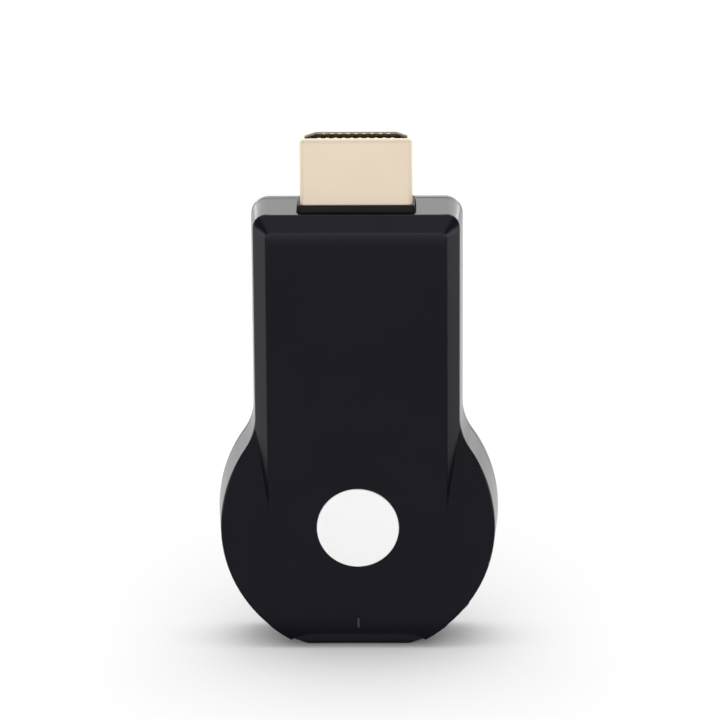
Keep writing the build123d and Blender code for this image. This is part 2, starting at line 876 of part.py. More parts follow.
def radio_board():
    """Small board of the radio module."""
    return on_board((radio_width, radio_board_thickness, radio_length), 0, radio_z, -1)


def radio_block(half_x, half_z, height):
    """A block on the radio module's board."""
    depth = (radio_face_y - height, radio_face_y)
    return box((-half_x, half_x), depth, (radio_z - half_z, radio_z + half_z))


def radio_can():
    """Tinned cover over the radio chip."""
    half_x = radio_width / 2 - radio_can_margin
    half_z = radio_length / 2 - radio_can_margin
    room = radio_block(half_x - radio_can_wall, half_z - radio_can_wall, radio_can_height - radio_can_wall)
    return radio_block(half_x, half_z, radio_can_height) - room


def radio_chip():
    """Radio chip under the can."""
    return radio_block(radio_chip_size / 2, radio_chip_size / 2, radio_chip_height)


def antenna():
    """Ceramic chip antenna near the rim of the disc."""
    inset = side_wall + draft_inset(board_front_y) + board_clearance
    reach = disc_radius - inset - antenna_height
    angle = radians(antenna_angle)
    size = (antenna_width, antenna_thickness, antenna_height)
    turned = Rot(0, 90 - antenna_angle, 0) * on_board(size, 0, 0, -1)
    return Pos(reach * cos(angle), 0, disc_centre_z + reach * sin(angle)) * turned


def inductors():
    """Power inductors with rounded corners."""
    blocks = [on_board(inductor_size, x, disc_centre_z + z, -1) for x, z in inductors_over]
    return group(fillet(block.edges().filter_by(Axis.Y), inductor_round) for block in blocks)


def passives():
    """Rows of small capacitors and resistors on the back of the board."""
    middle = (passive_columns - 1) / 2
    rows = [board_top_z - drop for drop in passive_rows_under] + [disc_centre_z + passive_row_over]
    xs = [(i - middle) * passive_pitch for i in range(passive_columns)]
    return group(on_board(passive_size, x, z, 1) for z in rows for x in xs)


def several(size, places, side, from_x, from_z):
    """Like components at places measured from one point of the board."""
    return group(on_board(size, from_x + x, from_z + z, side) for x, z in places)


def tantalums():
    """Tantalum capacitors under the radio module."""
    return several(tantalum_size, tantalums_over, -1, 0, disc_centre_z)


def flash():
    """Flash memory behind the processor."""
    x, drop = flash_under
    return on_board(flash_size, x, board_top_z - drop, 1)


def crystals():
    """Crystals in metal cans, on the back of the board."""
    places = [(x, -drop) for x, drop in crystals_under]
    return several(crystal_size, places, 1, 0, board_top_z)


def regulators():
    """Voltage regulators beside the right-hand screw, on the back of the board."""
    return several(regulator_size, regulators_off_screw, 1, screw_x, screw_z)


NODES = {
    "front_cover": front_cover,
    "rear_cover": rear_cover,
    "face_badge": badge,
    "main_board": board,
    "plug_shell": plug_shell,
    "plug_insulator": plug_insulator,
    "plug_front_contacts": lambda: plug_contacts(-1),
    "plug_back_contacts": lambda: plug_contacts(1),
    "plug_collar": plug_collar,
    "power_socket_shell": power_shell,
    "power_socket_tongue": power_tongue,
    "power_socket_contacts": power_contacts,
    "mode_button": mode_button,
    "switch_body": switch_body,
    "switch_plate": switch_plate,
    "switch_stem": switch_stem,
    "light_guide": light_guide,
    "indicator_led": indicator,
    "board_screws": lambda: group(screw(x, z) for x, z in screw_spots),
    "processor_chip": processor,
    "memory_chip": memory,
    "thermal_pad": thermal_pad,
    "heat_spreader": heat_spreader,
    "radio_module_board": radio_board,
    "radio_shield_can": radio_can,
    "radio_chip": radio_chip,
    "chip_antenna": antenna,
    "power_inductors": inductors,
    "tantalum_capacitors": tantalums,
    "flash_chip": flash,
    "crystals": crystals,
    "voltage_regulators": regulators,
    "small_passives": passives,
}

os.makedirs("parts", exist_ok=True)
for node, make in NODES.items():
    save(node, make())
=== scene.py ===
# %% [markdown]
# # A wireless display dongle, dressed for its picture
#
# The object is about as long as a thumb: a flat black case shaped like a key, a gold video plug on
# its narrow end, a plain white disc on its round end, and a flat foot that it stands on here.
# The solids come ready from the CAD model. This script gives them their finishes, models the
# details that a solid modeller leaves out, and sets up a small studio.
# Everything is in metres. X is to the right, Y runs from the face to the back, and Z is up.

# %% Load the solids
import json
import math

import bpy
from mathutils import Matrix, Vector


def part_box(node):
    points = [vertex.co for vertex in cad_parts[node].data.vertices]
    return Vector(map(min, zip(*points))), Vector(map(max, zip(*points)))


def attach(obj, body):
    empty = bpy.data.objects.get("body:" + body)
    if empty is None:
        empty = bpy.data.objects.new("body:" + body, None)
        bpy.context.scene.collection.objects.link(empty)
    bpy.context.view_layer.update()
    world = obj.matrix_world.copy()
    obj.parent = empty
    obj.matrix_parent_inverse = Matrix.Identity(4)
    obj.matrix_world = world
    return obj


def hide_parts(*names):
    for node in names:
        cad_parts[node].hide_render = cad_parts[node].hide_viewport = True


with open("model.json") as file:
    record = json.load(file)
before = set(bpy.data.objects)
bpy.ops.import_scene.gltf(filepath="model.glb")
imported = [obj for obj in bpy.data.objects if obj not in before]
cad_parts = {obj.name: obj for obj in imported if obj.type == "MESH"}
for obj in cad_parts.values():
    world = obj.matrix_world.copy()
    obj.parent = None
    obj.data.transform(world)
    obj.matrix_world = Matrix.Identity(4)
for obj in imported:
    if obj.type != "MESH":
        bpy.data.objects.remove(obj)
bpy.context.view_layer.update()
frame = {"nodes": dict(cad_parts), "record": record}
MM = 0.001
print("solids:", len(frame["nodes"]))

# %% [markdown]
# ## The camera
#
# The photograph was taken from a little above, with a long lens, almost square to the face.
# A long lens stays far away, so the sides of the case hardly converge. Such a place can be found
# by eye, one nudge after another. Here the straight edges of the case were measured and the
# distance, the turns and the lens worked out from them together: the camera stands 0.58 m off,
# looks down by 17.4 degrees, and leans a third of a degree, as a camera in the hand does.

# %% Put up the camera
CAMERA_DISTANCE = 577.5 * MM
CAMERA_PITCH = math.radians(17.395)
CAMERA_YAW = math.radians(0.836)
CAMERA_LEAN = math.radians(0.361)
CAMERA_TARGET = Vector((0.325, 0.0, 36.642)) * MM
PICTURE_WIDTH = 720
FOCAL_PIXELS = 4614.7

towards_camera = Vector((
    math.sin(CAMERA_YAW) * math.cos(CAMERA_PITCH),
    -math.cos(CAMERA_YAW) * math.cos(CAMERA_PITCH),
    math.sin(CAMERA_PITCH),
))
lens_data = bpy.data.cameras.new("camera")
lens_data.sensor_width = 36.0
lens_data.lens = FOCAL_PIXELS / PICTURE_WIDTH * lens_data.sensor_width
lens_data.clip_start = 0.01
camera = bpy.data.objects.new("camera", lens_data)
bpy.context.scene.collection.objects.link(camera)
aim = (-towards_camera).to_track_quat("-Z", "Y").to_matrix().to_4x4()
camera.matrix_world = (
    Matrix.Translation(CAMERA_TARGET + towards_camera * CAMERA_DISTANCE)
    @ aim @ Matrix.Rotation(-CAMERA_LEAN, 4, "Z")
)
bpy.context.scene.camera = camera
print("lens in mm:", round(lens_data.lens, 1))

# %% [markdown]
# ## A small language for finishes
#
# A material in Blender is a net of nodes. Written out one by one the nodes hide the sum that they
# stand for, so two small classes do the wiring. The first is a Wire. It is the output of a node,
# and it can be added and multiplied like a number.

# %% Wires
class Wire:
    """The output of a node. Sums and products of wires add Math nodes."""

    def __init__(self, finish, socket):
        self.finish = finish
        self.socket = socket

    def maths(self, operation, *values):
        """Adds a Math node, which takes the values in their order."""
        return self.finish.node("ShaderNodeMath", {"operation": operation}, dict(enumerate(values)))

    def __add__(self, other):
        return self.maths("ADD", self, other)

    def __sub__(self, other):
        return self.maths("SUBTRACT", self, other)

    def __rsub__(self, other):
        return self.maths("SUBTRACT", other, self)

    def __mul__(self, other):
        return self.maths("MULTIPLY", self, other)

    __radd__ = __add__
    __rmul__ = __mul__


# %% [markdown]
# ## Nets
#
# The second class is a Net: a material with one Principled shader, which gives the final look, and
# one method that adds any other node. Adding a node takes its kind, its settings and what goes into
# it, so that one line does what takes several clicks and drags by hand.

# %% Nets
class Net:
    """A material with one Principled shader, whose other nodes are added with node()."""

    def __init__(self, name, **constants):
        self.material = bpy.data.materials.new(name)
        self.material.use_nodes = True
        self.nodes = self.material.node_tree.nodes
        self.links = self.material.node_tree.links
        self.shader = next(n for n in self.nodes if n.type == "BSDF_PRINCIPLED")
        for socket, value in constants.items():
            self.shader.inputs[socket.replace("_", " ")].default_value = value

    def node(self, kind, settings=None, sockets=None, out=0):
        """Adds a node, sets its settings, fills its sockets, and returns one of its outputs."""
        made = self.nodes.new(kind)
        for name, value in (settings or {}).items():
            setattr(made, name, value)
        for socket, value in (sockets or {}).items():
            self.fill(made.inputs[socket], value)
        return Wire(self, made.outputs[out])

    def fill(self, socket, value):
        """Links a socket to a wire, or gives it a plain value."""
        if isinstance(value, Wire):
            self.links.new(value.socket, socket)
        else:
            socket.default_value = value

    def surface(self, **sockets):
        """Feeds the Principled shader."""
        for socket, value in sockets.items():
            self.fill(self.shader.inputs[socket.replace("_", " ")], value)


# %% [markdown]
# ## Patterns
#
# Plastic, plate and ceramic are never quite even, and all the finishes here are made of the same
# few patterns: clouds, random cells, a bump and soft edges. A photograph of each could be laid on
# instead, but it would have to be unfolded for every piece. These patterns read the point on the
# object in metres, so a grain of a tenth of a millimetre is written as just that.

# %% Patterns
class Finish(Net):
    """A net that also knows the patterns."""

    def place(self):
        """The point on the object, in metres."""
        return self.node("ShaderNodeTexCoord", out="Object")

    def stretched(self, scale):
        """The point on the object, scaled by a different amount along each axis."""
        return self.node("ShaderNodeMapping", {}, {"Vector": self.place(), "Scale": scale})

    def noise(self, vector, size, detail=2.0):
        """Cloudy noise from 0 to 1, whose clouds are about size metres across."""
        sockets = {"Vector": vector, "Scale": 1 / size, "Detail": detail}
        return self.node("ShaderNodeTexNoise", {}, sockets)

    def between(self, value, low, high):
        """Takes 0..1 to low..high."""
        return self.node("ShaderNodeMapRange", {}, {"Value": value, "To Min": low, "To Max": high})

    def contrast(self, value, low, high):
        """Takes low..high to 0..1, with soft ends, and clips the rest."""
        sockets = {"Value": value, "From Min": low, "From Max": high}
        return self.node("ShaderNodeMapRange", {"interpolation_type": "SMOOTHSTEP"}, sockets)

    def mix(self, share, first, second):
        """A colour between two colours."""
        sockets = {0: share, 6: first, 7: second}
        return self.node("ShaderNodeMix", {"data_type": "RGBA"}, sockets, out=2)

    def bump(self, height, depth, normal=None):
        """The normal of a surface whose relief is depth metres where height is 1."""
        sockets = {"Height": height, "Distance": depth, "Strength": 1.0}
        if normal:
            sockets["Normal"] = normal
        return self.node("ShaderNodeBump", {}, sockets)

    def cells(self, vector, size, out=0, **settings):
        """Random cells about size metres across, as the distance to their middles, or with out=1
        as a random colour for each."""
        sockets = {"Vector": vector, "Scale": 1 / size}
        return self.node("ShaderNodeTexVoronoi", settings, sockets, out)

    def soft_edges(self, radius):
        """A normal that rounds every edge over radius metres."""
        return self.node("ShaderNodeBevel", {"samples": 6}, {"Radius": radius})


def grey(value):
    """A colour with equal parts of red, green and blue."""
    return (value, value, value, 1.0)


# %% [markdown]
# ## Moulded black plastic
#
# The case is injection moulded in black with a drop of blue, and the mould was eroded to a fine
# satin. One flat colour would do from far away, but a real moulding lives by its gloss. So the
# satin is a bump of about a micron, and slow clouds in the colour and the roughness keep a large
# plain face from looking like a computer's. A moulding never has a knife edge, so a Bevel node
# rounds the normal over a sixth of a millimetre. The collar, the button and the plug's core come
# out of the same recipe with other values, because they are black mouldings too, only duller.

# %% The finish of the black mouldings
SATIN_GRAIN = 0.09 * MM
SATIN_DEPTH = 0.0012 * MM
EDGE_SOFTNESS = 0.17 * MM


def moulded_black(name, dark, light, roughness, level):
    """Black plastic between two colours and two roughnesses, whose gloss has the given level."""
    finish = Finish(name, Specular_IOR_Level=level)
    slow = finish.noise(finish.place(), 9 * MM, detail=3)
    finish.surface(Base_Color=finish.mix(finish.contrast(slow, 0.35, 0.65), dark, light))
    fine = finish.noise(finish.place(), 1.3 * MM, detail=4)
    finish.surface(Roughness=finish.between(slow * 0.6 + fine * 0.4, *roughness))
    grain = finish.noise(finish.place(), SATIN_GRAIN, detail=3)
    finish.surface(Normal=finish.bump(grain, SATIN_DEPTH, finish.soft_edges(EDGE_SOFTNESS)))
    return finish


case_black = moulded_black(
    "case_black", (0.0010, 0.0009, 0.0050, 1), (0.0018, 0.0017, 0.0060, 1), (0.20, 0.28), 0.58)
button_black = moulded_black(
    "button_black", (0.003, 0.003, 0.005, 1), (0.005, 0.005, 0.007, 1), (0.42, 0.55), 0.5)
collar_black = moulded_black("collar_black", grey(0.003), grey(0.005), (0.45, 0.6), 0.4)
insulator_black = moulded_black("insulator_black", grey(0.010), grey(0.016), (0.5, 0.65), 0.4)
print("satin grain in mm:", round(SATIN_GRAIN / MM, 3), "deep:", round(SATIN_DEPTH / MM, 4))

# %% [markdown]
# ## White disc
#
# The disc is a separate moulding in plain white, duller than the case. A white that is written as
# 1 clips and loses its shading, so the colour stays a little under it, and the same faint clouds go
# into the colour and the roughness.

# %% The finish of the disc
badge_white = Finish("badge_white")
clouds = badge_white.noise(badge_white.place(), 4 * MM, detail=3)
badge_white.surface(
    Base_Color=badge_white.mix(clouds, (0.90, 0.90, 0.895, 1), (0.93, 0.93, 0.925, 1)),
    Roughness=badge_white.between(clouds, 0.34, 0.46))
print("nodes in the disc's finish:", len(badge_white.nodes))

# %% [markdown]
# ## Pale gold plate
#
# The plug's shell is stamped steel with a thin champagne coloured plating. Rolling leaves fine
# streaks along the strip, and handling leaves soft dull patches, so the colour hardly changes and
# the roughness carries the story. A full metal would show only the studio, dark in one place and
# white in the next. The thin dull plating scatters light as well, so it is half a metal here.

# %% The finish of the plug
STREAK_WIDTH = 0.05 * MM
PATCH_SIZE = 5 * MM
ALONG_Z = (1.0, 1.0, 0.06)

plug_gold = Finish("plug_gold", Metallic=0.55)
streaks = plug_gold.noise(plug_gold.stretched(ALONG_Z), STREAK_WIDTH, detail=3)
patches = plug_gold.noise(plug_gold.place(), PATCH_SIZE, detail=2)
plug_gold.surface(
    Base_Color=plug_gold.mix(patches, (0.97, 0.85, 0.645, 1), (0.97, 0.815, 0.645, 1)),
    Roughness=plug_gold.between(patches * 0.7 + streaks * 0.3, 0.42, 0.52),
    Normal=plug_gold.bump(streaks, 0.0006 * MM, plug_gold.soft_edges(0.08 * MM)))
print("streaks in mm:", round(STREAK_WIDTH / MM, 3), "patches in mm:", round(PATCH_SIZE / MM, 1))

# %% [markdown]
# ## Circuit board
#
# A board is copper tracks under a coat of coloured lacquer, and the tracks show as a lighter
# relief. They could be drawn one by one as thin solids, but hundreds of them would be heavy, so
# they are a pattern. They run in bundles, here across and there along the board. A random cell
# pattern decides for each patch which way its bundle runs, and whether it has one at all. A second
# cell pattern drops in the small tinned rings that join the two sides.

# %% The finish of the boards
TRACK_PITCH = 0.55 * MM
BUNDLE_SIZE = 5 * MM
RING_SPACING = 2.4 * MM
COPPER_HEIGHT = 0.02 * MM
TINNED_RING = (0.62, 0.58, 0.46, 1)


def lacquered_board(name, lacquer, over_copper):
    """A board in the lacquer's colour, with the other colour where copper lies under it."""
    finish = Finish(name)
    spot = finish.place()
    across = finish.node("ShaderNodeSeparateXYZ", {}, {0: spot}, out=0)
    along = finish.node("ShaderNodeSeparateXYZ", {}, {0: spot}, out=2)
    waves = [(run * (2 * math.pi / TRACK_PITCH)).maths("SINE") for run in (across, along)]
    squares = finish.cells(spot, BUNDLE_SIZE, 1, distance="CHEBYCHEV")
    patch = finish.node("ShaderNodeSeparateColor", {}, {0: squares})
    turned = patch.maths("GREATER_THAN", 0.5)
    bundle = waves[0] * turned + waves[1] * (1 - turned)
    filled = finish.contrast(patch.maths("PINGPONG", 0.5), 0.1, 0.12)
    tracks = finish.contrast(bundle, 0.0, 0.35) * filled
    reach = finish.cells(spot, RING_SPACING)
    ring = finish.contrast(reach, 0.04, 0.05) * (1 - finish.contrast(reach, 0.09, 0.10))
    finish.surface(
        Base_Color=finish.mix(ring, finish.mix(tracks, lacquer, over_copper), TINNED_RING),
        Metallic=ring,
        Roughness=finish.between(finish.noise(spot, 0.3 * MM), 0.28, 0.42),
        Normal=finish.bump(tracks + ring, COPPER_HEIGHT))
    return finish


board_green = lacquered_board("board_green", (0.006, 0.070, 0.030, 1), (0.018, 0.150, 0.062, 1))
board_blue = lacquered_board("board_blue", (0.006, 0.022, 0.085, 1), (0.016, 0.055, 0.180, 1))
print("track pitch in mm:", round(TRACK_PITCH / MM, 2))

# %% [markdown]
# ## Bare metals, ceramics and mould compound
#
# The small parts inside are plated, fired or moulded, and none of them is painted. Each could have
# its own recipe, but under a lens they differ mostly in colour and gloss. So one recipe serves them
# all: clouds in the colour, the same clouds in the roughness, and a grain that only a bump of about
# a micron shows. The plate over the processor is brushed: its noise is stretched along X, so that
# it falls into long hairs.

# %% Recipes for the small parts
def grained(name, colour, roughness, metallic, grain, darker, depth):
    """A plain colour that clouds make darker in places, with a fine grain."""
    finish = Finish(name, Metallic=metallic)
    clouds = finish.noise(finish.place(), grain, detail=3)
    finish.surface(
        Base_Color=finish.mix(clouds, colour, tuple(c * darker for c in colour[:3]) + (1,)),
        Roughness=finish.between(clouds, roughness - 0.06, roughness + 0.06),
        Normal=finish.bump(clouds, depth))
    return finish


def plain_metal(name, colour, roughness):
    """A bare metal with a fine grain."""
    return grained(
        name, colour, roughness, metallic=1.0, grain=0.12 * MM, darker=0.9, depth=0.0008 * MM)


def plain_dull(name, colour, roughness):
    """Ceramic, rubber or mould compound, with a coarser grain."""
    return grained(
        name, colour, roughness, metallic=0.0, grain=0.2 * MM, darker=0.85, depth=0.001 * MM)


ALONG_X = (0.03, 1.0, 1.0)
brushed = Finish("spreader_aluminium", Metallic=1.0)
hairs = brushed.noise(brushed.stretched(ALONG_X), 0.06 * MM, detail=4)
brushed.surface(
    Base_Color=brushed.mix(hairs, (0.52, 0.52, 0.53, 1), (0.66, 0.66, 0.67, 1)),
    Roughness=brushed.between(hairs, 0.30, 0.48),
    Normal=brushed.bump(hairs, 0.002 * MM))
print("nodes in the brushed finish:", len(brushed.nodes))

# %% [markdown]
# ## A finish for every slot
#
# Each solid has a material slot by name, such as the housing's black or the screws' steel. The
# finishes could be given to the solids one by one, but a table from slot to finish also serves the
# pieces modelled below, so that no piece is forgotten when a colour changes.

# %% Give the solids their finishes
FINISHES = {
    "housing_black": case_black,
    "badge_white": badge_white,
    "circuit_board": board_green,
    "plug_gold": plug_gold,
    "insulator_black": insulator_black,
    "contact_gold": plain_metal("contact_gold", (0.9, 0.66, 0.30, 1), 0.25),
    "collar_black": collar_black,
    "tinned_steel": plain_metal("tinned_steel", (0.62, 0.62, 0.6, 1), 0.35),
    "button_black": button_black,
    "stem_white": plain_dull("stem_white", (0.75, 0.74, 0.7, 1), 0.5),
    # The light guide is clear plastic. Its plain grey, much lighter than the case, is painted
    # light: it stands for the pale streak of light that the clear guide shows.
    "clear_guide": plain_dull("guide_clear", (0.05, 0.05, 0.055, 1), 0.25),
    "led_yellow": plain_dull("led_yellow", (0.8, 0.7, 0.25, 1), 0.3),
    "screw_steel": plain_metal("screw_steel", (0.45, 0.45, 0.46, 1), 0.35),
    "chip_black": plain_dull("chip_black", (0.025, 0.025, 0.026, 1), 0.55),
    "pad_grey": plain_dull("pad_grey", (0.32, 0.36, 0.42, 1), 0.8),
    "spreader_aluminium": brushed,
    "radio_board": board_blue,
    "antenna_ceramic": plain_dull("antenna_ceramic", (0.75, 0.74, 0.7, 1), 0.45),
    "ferrite_grey": plain_dull("ferrite_grey", (0.08, 0.08, 0.085, 1), 0.6),
    "tantalum_amber": plain_dull("tantalum_amber", (0.75, 0.42, 0.06, 1), 0.45),
    "passive_ceramic": plain_dull("passive_ceramic", (0.5, 0.38, 0.25, 1), 0.5),
}
for part in frame["record"]["subparts"]:
    solid = frame["nodes"][part["node"]]
    solid.data.materials.clear()
    solid.data.materials.append(FINISHES[part["material_slot"]].material)
print("finishes:", len(FINISHES))

# %% [markdown]
# ## Tools for modelling
#
# The small parts on the circuit board can't be seen while the case is closed, but whoever opens
# the model finds them. They are modelled as by hand: a cube or a cylinder is added at its place,
# and its faces are then inset, extruded and bevelled in edit mode. An operator works on all that
# is selected, so each tool below deselects everything first.
#
# The first tools take one piece in hand, and make the blocks and bars that every piece starts from.

# %% Blocks and bars
def deselect():
    """Leaves edit mode and drops every selection."""
    if bpy.context.mode != "OBJECT":
        bpy.ops.object.mode_set(mode="OBJECT")
    bpy.ops.object.select_all(action="DESELECT")


def take(piece):
    """Makes a piece the active one, and the only one selected."""
    deselect()
    piece.select_set(True)
    bpy.context.view_layer.objects.active = piece


def settle(name, slot):
    """Names a new primitive, gives it a finish, and moves its place and size into its mesh."""
    bpy.ops.object.transform_apply()
    piece = bpy.context.object
    piece.name = name
    piece.data.materials.append(FINISHES[slot].material)
    return piece


def block(name, low, high, slot):
    """A cube between two corners, in millimetres."""
    deselect()
    low, high = Vector(low) * MM, Vector(high) * MM
    bpy.ops.mesh.primitive_cube_add(size=1, location=(low + high) / 2, scale=high - low)
    return settle(name, slot)


def round_bar(name, centre, radius, length, slot, sides=32):
    """A cylinder along Y, with its middle at centre."""
    deselect()
    bpy.ops.mesh.primitive_cylinder_add(
        vertices=sides, radius=radius * MM, depth=length * MM,
        location=Vector(centre) * MM, rotation=(math.radians(90), 0, 0))
    return settle(name, slot)


# %% [markdown]
# ## Picking and shaping
#
# By hand, faces and edges are clicked. A script knows them by their place, so it asks each one for
# its middle, and for the way that a face looks or an edge runs, and picks those that pass a test.
# The tools after it then work on what is picked: draw it out, shrink it, or round it off.

# %% Picking and shaping
def pick(piece, test, kind="FACE"):
    """Opens edit mode with the faces or edges picked that pass the test, which gets the middle
    of each, and its normal or its run."""
    take(piece)
    bpy.ops.object.mode_set(mode="EDIT")
    bpy.ops.mesh.select_mode(type=kind)
    bpy.ops.mesh.select_all(action="DESELECT")
    bpy.ops.object.mode_set(mode="OBJECT")
    if kind == "FACE":
        for face in piece.data.polygons:
            face.select = test(face.center / MM, face.normal)
    else:
        points = [point.co / MM for point in piece.data.vertices]
        for edge in piece.data.edges:
            start, end = (points[i] for i in edge.vertices)
            edge.select = test((start + end) / 2, (end - start).normalized())
    bpy.ops.object.mode_set(mode="EDIT")


def draw_out(shift):
    """Extrudes what is picked by a shift in millimetres."""
    bpy.ops.mesh.extrude_region_move(TRANSFORM_OT_translate={"value": tuple(Vector(shift) * MM)})


def scale_about(centre, factors):
    """Scales what is picked about a point in millimetres."""
    bpy.ops.transform.resize(value=factors, center_override=Vector(centre) * MM)


def bevel_edges(piece, test, width, steps=2):
    """Rounds the edges that pass the test, over a width in millimetres."""
    pick(piece, test, "EDGE")
    bpy.ops.mesh.bevel(offset=width * MM, segments=steps, affect="EDGES")
    deselect()


# %% [markdown]
# ## Cutting, copying and joining
#
# Holes, grooves and recesses are cut with a second piece and a Boolean modifier, which is surer
# than cutting faces by hand. What repeats is modelled once and copied, and each copy gets a mesh of
# its own. Parts of a kind are joined into one piece at the end.

# %% Cutting, copying and joining
def modify(piece, kind, **settings):
    """Adds a modifier, sets it and applies it."""
    take(piece)
    modifier = piece.modifiers.new(kind.lower(), kind)
    for name, value in settings.items():
        setattr(modifier, name, value)
    bpy.ops.object.modifier_apply(modifier=modifier.name)


def cut(piece, cutter):
    """Takes the shape of a cutter out of a piece."""
    modify(piece, "BOOLEAN", operation="DIFFERENCE", object=cutter, solver="EXACT")
    bpy.data.objects.remove(cutter)


def copied(piece, shift):
    """A copy with its own mesh, shifted in millimetres."""
    take(piece)
    bpy.ops.object.duplicate()
    bpy.ops.transform.translate(value=Vector(shift) * MM)
    bpy.ops.object.transform_apply()
    return bpy.context.object


def joined(pieces, name):
    """Makes one piece of several, which keep their finishes."""
    take(pieces[0])
    for piece in pieces[1:]:
        piece.select_set(True)
    bpy.ops.object.join()
    bpy.context.object.name = name
    return bpy.context.object


# %% [markdown]
# ## Handing a piece over
#
# A finished piece is shaded smooth, with its sharp edges kept, and weighted normals keep its flat
# faces flat beside their rounded edges. Then it is hung on the housing's body, which it moves
# with, and the solid that it stands for is hidden. Everything modelled here is fixed in the
# housing.

# %% Handing a piece over
def present(piece, node=None, angle=35):
    """Shades a finished piece, hangs it on the housing's body, and hides the solid that it stands
    for.
    """
    take(piece)
    bpy.ops.object.shade_smooth_by_angle(angle=math.radians(angle))
    modify(piece, "WEIGHTED_NORMAL", keep_sharp=True)
    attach(piece, "housing")
    if node:
        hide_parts(node)
    print(piece.name, "faces:", len(piece.data.polygons))


# %% [markdown]
# ## Screws
#
# Three screws with a flat head and a cross recess hold the board on the posts of the front cover.
# A real thread is one spiral ridge. At this size rings look the same and weigh less, so the shank
# is drawn out of the head ring by ring, and two crossed cutters make the recess.

# %% Model a screw and copy it
def rings(radius, root, pitch, count, centre_x, centre_z):
    """Draws the picked end face out along -Y, going in to the root and out again for each ring."""
    for ring in range(count):
        for factor in (root / radius, radius / root):
            draw_out((0, -pitch / 2, 0))
            scale_about((centre_x, 0, centre_z), (factor, 1, factor))


SCREW_Z = 30.3
HEAD_RADIUS, SHANK_RADIUS, ROOT_RADIUS = 1.6, 0.8, 0.66
THREAD_PITCH, THREAD_RINGS = 0.4, 6
SIDEWAYS, DOWN = 11.592, -9.79      # from the upper screw to the lower ones

screw = round_bar("board_screw_set", (0, 1.0, SCREW_Z), HEAD_RADIUS, 1.0, "screw_steel")
bevel_edges(screw, lambda at, run: at.y > 1.49, 0.3, 3)
pick(screw, lambda at, out: out.y < -0.9)
bpy.ops.mesh.inset(thickness=(HEAD_RADIUS - SHANK_RADIUS) * MM)
draw_out((0, -1.0, 0))
rings(SHANK_RADIUS, ROOT_RADIUS, THREAD_PITCH, THREAD_RINGS, 0, SCREW_Z)
draw_out((0, -0.2, 0))
scale_about((0, 0, SCREW_Z), (0.6, 1, 0.6))
deselect()
for half_x, half_z in ((0.85, 0.15), (0.15, 0.85)):
    low, high = (-half_x, 1.05, SCREW_Z - half_z), (half_x, 1.8, SCREW_Z + half_z)
    cut(screw, block("cutter", low, high, "screw_steel"))
lower = [copied(screw, (side * SIDEWAYS, 0, DOWN)) for side in (-1, 1)]
screw = joined([screw] + lower, "board_screw_set")
present(screw, "board_screws")

# %% [markdown]
# ## Shield can
#
# The radio sits under a can pressed from thin tinned steel, with rounded corners and a grid of
# holes that let out heat and soldering gas. Five plates could be joined at their edges, but a
# pressed sheet has one skin. So a cube that is open towards the board gets its corners rounded, a
# Solidify modifier gives it its sheet thickness, and small bars drill the holes.

# %% Model the shield can
def corners(node):
    """The two corners of a node's box, in millimetres."""
    return [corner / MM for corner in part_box(node)]


SHEET = 0.2
HOLE_RADIUS = 0.4
HOLE_COLUMNS, HOLE_ROWS = 1.6, 1.5  # from one hole to the next, across and up

low, high = corners("radio_shield_can")
can = block("radio_can", low, high, "tinned_steel")
pick(can, lambda at, out: out.y > 0.9)
bpy.ops.mesh.delete(type="FACE")
bevel_edges(can, lambda at, run: abs(run.y) > 0.9, 0.9, 4)
bevel_edges(can, lambda at, run: at.y < low.y + 0.01, 0.25, 3)
modify(can, "SOLIDIFY", thickness=SHEET * MM, offset=-1.0)
hole = round_bar("hole", (-3.2, low.y, 14.0), HOLE_RADIUS, 1.2, "tinned_steel", 12)
grid = [(HOLE_COLUMNS * column, 0, HOLE_ROWS * row) for column in range(5) for row in range(5)]
cut(can, joined([hole] + [copied(hole, shift) for shift in grid[1:]], "holes"))
present(can, "radio_shield_can")

# %% [markdown]
# ## Chip packages
#
# The processor, the memory and the radio chip are each a black cap moulded on a thin laminate, with
# a round dimple near one corner to show which way they go. One block with a line round it would
# pass from afar, but the two layers have different finishes. So two blocks make them, the cap's
# front edges are bevelled, and a short bar presses the dimple.

# %% Model the chip packages
def package(name, node, laminate=0.32, margin=0.25, dimple=0.35):
    """A chip in its node's box: laminate is a thickness, and margin lies round the cap."""
    low, high = corners(node)
    inset = Vector((margin, 0, margin))
    floor_y = high.y - laminate
    base = block("base", (low.x, floor_y, low.z), high, "circuit_board")
    cap = block("cap", low + inset, (high.x - margin, floor_y, high.z - margin), "chip_black")
    bevel_edges(cap, lambda at, run: at.y < low.y + 0.01, 0.12, 2)
    spot = (low.x + margin + 3 * dimple, low.y, high.z - margin - 3 * dimple)
    cut(cap, round_bar("dimple", spot, dimple, 0.12, "chip_black", 24))
    present(joined([cap, base], name), node)


package("processor_package", "processor_chip")
package("memory_package", "memory_chip")
package("radio_package", "radio_chip", laminate=0.2, margin=0.15, dimple=0.25)

# %% [markdown]
# ## Chips with bent legs
#
# The flash chip and the two voltage regulators stand on legs of tinned strip, bent like a bird's
# wing. A leg could be a thick curve, but strip has flat sides. So it starts as a small block at the
# side of the body, and its end face is drawn out, down and out again. The long edges of the body
# are bevelled, as a mould needs them to be.

# %% Model a bent leg and a chip on legs
BOARD_FACE = 0.5    # from the middle of the board to its face


def bent_leg(side, x, y, z, reach, width=0.36, thickness=0.15):
    """A leg that leaves the body at x, y, z to the left (-1) or right (1), down to the board."""
    near, far = sorted((x, x - side * 0.1))
    low, high = (near, y, z - width / 2), (far, y + thickness, z + width / 2)
    leg = block("leg", low, high, "tinned_steel")
    pick(leg, lambda at, out: out.x * side > 0.9)
    draw_out((side * 0.12, 0, 0))
    draw_out((side * 0.10, BOARD_FACE + 0.04 - y, 0))
    draw_out((side * (reach - 0.22), -0.04, 0))
    deselect()
    return leg


